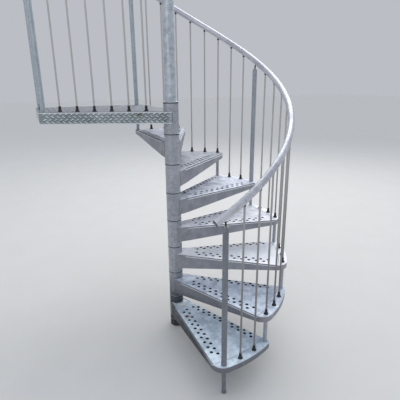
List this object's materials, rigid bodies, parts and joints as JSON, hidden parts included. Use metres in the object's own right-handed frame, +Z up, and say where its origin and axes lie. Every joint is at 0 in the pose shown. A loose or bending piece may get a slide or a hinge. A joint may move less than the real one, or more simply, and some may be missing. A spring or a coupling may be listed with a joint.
{
  "type": "spiral staircase",
  "caption": "Galvanised steel spiral stair on a central column, with perforated treads, a helical handrail on thin rods and a guarded landing at a wall.",
  "frame": {"origin": "centre of the foot plate's underside, at ground level on the column's axis", "axes": "+Z up along the column; +X towards the first tread's front post; the stair climbs counter-clockwise about +Z"},
  "size_m": [1.6298, 1.6233, 2.666],
  "materials": {
    "hub_zinc": "hot-dip galvanised, mottled",
    "column_zinc": "hot-dip galvanised, spangled",
    "cheek_zinc": "hot-dip galvanised, dull",
    "tread_zinc": "hot-dip galvanised, satin",
    "landing_zinc": "galvanised tear plate",
    "post_zinc": "galvanised tube",
    "rod_steel": "brushed",
    "rail_steel": "satin",
    "black_plastic": "matte"
  },
  "bodies": {
    "root": {"base_plate": "hub_zinc", "base_socket": "hub_zinc", "hub_collars": "hub_zinc", "tread_hubs": "hub_zinc", "landing_hub": "hub_zinc", "core_tube": "column_zinc", "column_cap": "column_zinc", "tread_1": "cheek_zinc", "tread_2": "cheek_zinc", "tread_3": "cheek_zinc", "tread_4": "cheek_zinc", "tread_5": "cheek_zinc", "tread_6": "cheek_zinc", "tread_7": "cheek_zinc", "tread_plate_1": "tread_zinc", "tread_plate_2": "tread_zinc", "tread_plate_3": "tread_zinc", "tread_plate_4": "tread_zinc", "tread_plate_5": "tread_zinc", "tread_plate_6": "tread_zinc", "tread_plate_7": "tread_zinc", "landing_frame": "landing_zinc", "landing_plate": "landing_zinc", "landing_ribs": "cheek_zinc", "spacer_tubes": "post_zinc", "ground_leg": "post_zinc", "first_post": "post_zinc", "middle_post": "post_zinc", "landing_post": "post_zinc", "guard_end_post": "post_zinc", "guard_wall_post": "post_zinc", "post_caps": "post_zinc", "balusters_1": "rod_steel", "balusters_2": "rod_steel", "balusters_3": "rod_steel", "balusters_4": "rod_steel", "balusters_5": "rod_steel", "balusters_6": "rod_steel", "balusters_7": "rod_steel", "guard_balusters": "rod_steel", "baluster_feet": "black_plastic", "guard_feet": "black_plastic", "handrail": "rail_steel", "guard_rail": "rail_steel", "rail_end_caps": "black_plastic"}
  },
  "joints": []
}
